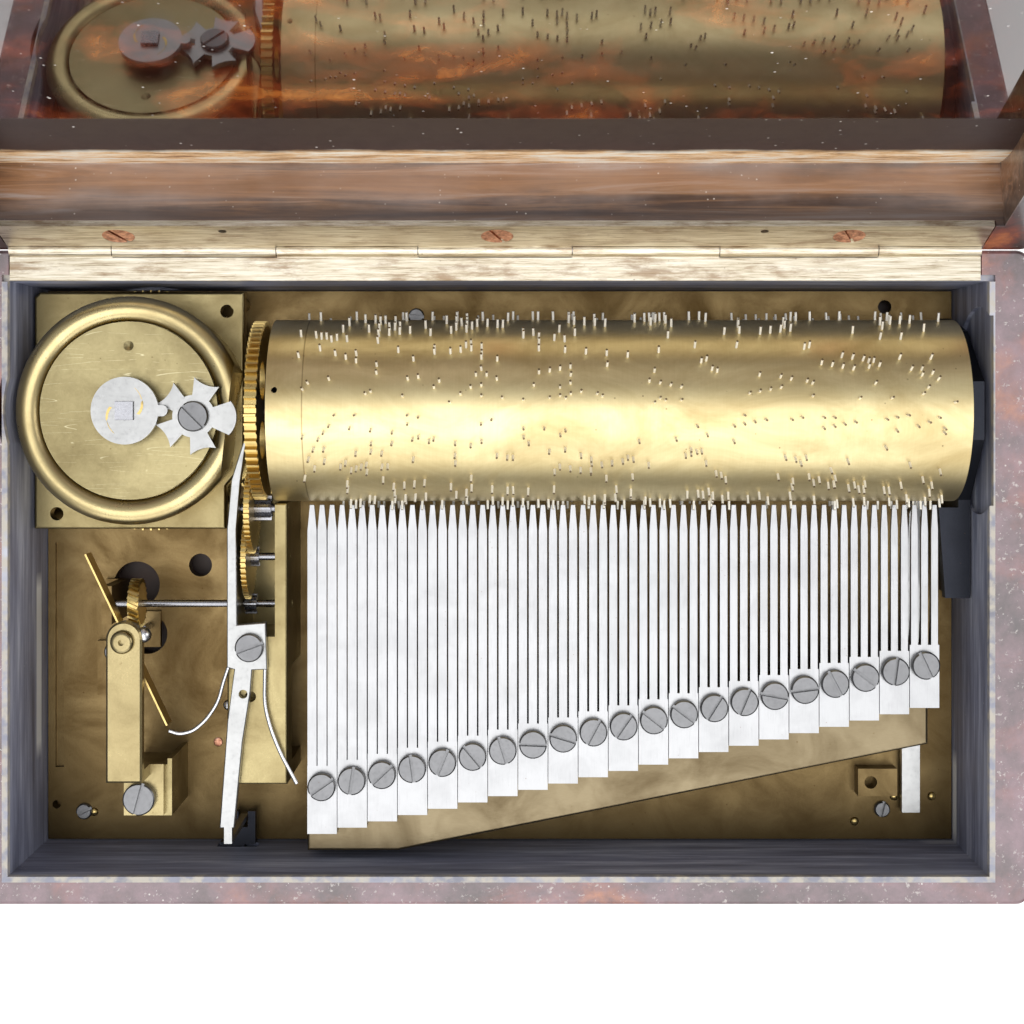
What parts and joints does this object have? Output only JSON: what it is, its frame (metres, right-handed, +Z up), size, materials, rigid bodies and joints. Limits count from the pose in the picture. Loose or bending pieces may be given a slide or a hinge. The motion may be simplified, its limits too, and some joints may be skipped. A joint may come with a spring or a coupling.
{
  "type": "cylinder music box",
  "caption": "Pocket musical snuff box: pinned brass cylinder, sectional steel comb, spring housing with stop work and air-brake train in a hinged case.",
  "frame": {"origin": "underside of the case, midway between its ends", "axes": "+Z up, +X along the case to the right seen from the front, +Y towards the hinge"},
  "size_m": [0.094, 0.0847, 0.0741],
  "materials": {
    "tortoiseshell": "polished, mottled",
    "dark_lining": "satin",
    "wood_panel": "satin",
    "hinge_metal": "worn silvered brass",
    "copper_screws": "dull copper",
    "plate_brass": "patinated",
    "bright_brass": "polished",
    "comb_steel": "ground",
    "screw_steel": "brushed",
    "arbor_steel": "polished",
    "dark_steel": "blued",
    "lead": "dull lead",
    "cement": "resin"
  },
  "bodies": {
    "case": {"case_shell": "tortoiseshell", "case_lining": "dark_lining", "case_bottom": "wood_panel", "case_hinge_leaf": "hinge_metal", "hinge_pin": "arbor_steel", "bedplate": "plate_brass", "bedplate_blocks": "plate_brass", "bedplate_screws": "screw_steel", "raised_plate": "plate_brass", "raised_plate_pillars": "plate_brass", "spring_housing": "bright_brass", "housing_cover": "bright_brass", "mainspring": "arbor_steel", "star_screw": "screw_steel", "cylinder_cock_left": "dark_steel", "cylinder_bridge_right": "dark_steel", "train_block": "plate_brass", "long_arbor_bearing": "plate_brass", "footstep_plate": "plate_brass", "governor_screws": "screw_steel", "cock_foot": "plate_brass", "governor_cock": "bright_brass", "endstone_cap": "bright_brass", "comb_segments": "comb_steel", "comb_screws": "screw_steel", "tuning_leads": "lead", "comb_base": "bright_brass", "stop_lever_screw": "screw_steel", "change_lever_screw": "screw_steel", "change_lever_stop": "plate_brass"},
    "lid": {"lid_shell": "tortoiseshell", "lid_panel": "tortoiseshell", "lid_hinge_leaf": "hinge_metal", "lid_leaf_screws": "copper_screws"},
    "drive_wheel": {"drive_wheel": "bright_brass", "click_screw": "screw_steel", "click_spring": "arbor_steel"},
    "click": {"click": "arbor_steel"},
    "winding_arbor": {"winding_arbor": "arbor_steel", "ratchet_wheel": "arbor_steel", "stop_finger": "comb_steel"},
    "stop_star": {"stop_star": "comb_steel"},
    "cylinder_shaft": {"cylinder_arbor": "arbor_steel", "great_wheel": "bright_brass"},
    "cylinder": {"cylinder_tube": "bright_brass", "cylinder_ends": "bright_brass", "cylinder_cement": "cement"},
    "first_arbor": {"first_pinion": "arbor_steel", "first_wheel": "bright_brass"},
    "second_arbor": {"second_pinion": "arbor_steel", "second_wheel": "bright_brass"},
    "long_arbor": {"long_arbor": "arbor_steel", "worm_wheel": "bright_brass"},
    "governor": {"worm_screw": "arbor_steel", "fly": "bright_brass"},
    "stop_lever": {"stop_lever": "comb_steel", "fly_brake_wire": "screw_steel", "lever_return_wire": "screw_steel"},
    "start_slide": {"start_slide": "bright_brass"},
    "change_lever": {"change_lever": "comb_steel"}
  },
  "joints": [
    {"name": "lid_hinge", "type": "hinge", "parent": "case", "child": "lid", "pos_m": [0, 0.0284, 0.019], "axis": [1, 0, 0], "range_deg": [0, 108]},
    {"name": "cylinder_spin", "type": "hinge", "parent": "case", "child": "cylinder_shaft", "pos_m": [0, 0.0142, 0.0148], "axis": [1, 0, 0], "continuous": true},
    {"name": "cylinder_shift", "type": "slide", "parent": "cylinder_shaft", "child": "cylinder", "axis": [1, 0, 0], "range_m": [0, 0.00046]},
    {"name": "drive_spin", "type": "hinge", "parent": "case", "child": "drive_wheel", "pos_m": [-0.0331, 0.0142, 0.00675], "axis": [0, 0, 1], "continuous": true},
    {"name": "click_pivot", "type": "hinge", "parent": "drive_wheel", "child": "click", "pos_m": [-0.0305, 0.0201, 0.0075], "axis": [0, 0, 1], "range_deg": [0, 10], "stiffness_Nm_per_rad": 0.0005, "springref_deg": 11.46},
    {"name": "winding", "type": "hinge", "parent": "drive_wheel", "child": "winding_arbor", "pos_m": [-0.0331, 0.0142, 0.0075], "axis": [0, 0, 1], "range_deg": [-645, 645]},
    {"name": "stop_star_turn", "type": "hinge", "parent": "case", "child": "stop_star", "pos_m": [-0.0271, 0.0137, 0.0178], "axis": [0, 0, 1], "range_deg": [-130, 130]},
    {"name": "first_arbor_spin", "type": "hinge", "parent": "case", "child": "first_arbor", "pos_m": [-0.022, 0.00537, 0.0148], "axis": [1, 0, 0], "continuous": true},
    {"name": "second_arbor_spin", "type": "hinge", "parent": "case", "child": "second_arbor", "pos_m": [-0.022, 0.00085, 0.0132], "axis": [1, 0, 0], "continuous": true},
    {"name": "long_arbor_spin", "type": "hinge", "parent": "case", "child": "long_arbor", "pos_m": [-0.028, -0.0036, 0.012], "axis": [1, 0, 0], "continuous": true},
    {"name": "fly_spin", "type": "hinge", "parent": "case", "child": "governor", "pos_m": [-0.0334, -0.00634, 0.012], "axis": [0, 0, 1], "continuous": true},
    {"name": "stop_lever_pivot", "type": "hinge", "parent": "case", "child": "stop_lever", "pos_m": [-0.0223, -0.007, 0.0164], "axis": [0, 0, 1], "range_deg": [0, 3]},
    {"name": "start_slide_travel", "type": "slide", "parent": "case", "child": "start_slide", "axis": [1, 0, 0], "range_m": [0, 0.000909]},
    {"name": "change_lever_pivot", "type": "hinge", "parent": "case", "child": "change_lever", "pos_m": [0.03905, -0.012, 0.0065], "axis": [0, 0, 1], "range_deg": [-1.2, 0]}
  ],
  "couplings": [
    {"joint": "drive_spin", "follows": "cylinder_spin", "ratio": 0.69565},
    {"joint": "first_arbor_spin", "follows": "cylinder_spin", "ratio": -8},
    {"joint": "second_arbor_spin", "follows": "cylinder_spin", "ratio": 40},
    {"joint": "long_arbor_spin", "follows": "cylinder_spin", "ratio": -180},
    {"joint": "fly_spin", "follows": "cylinder_spin", "ratio": -1440},
    {"joint": "stop_star_turn", "follows": "winding", "ratio": -0.2},
    {"joint": "stop_lever_pivot", "follows": "start_slide_travel", "rad_per_m": 57.6},
    {"joint": "change_lever_pivot", "follows": "cylinder_shift", "rad_per_m": -45.35}
  ]
}
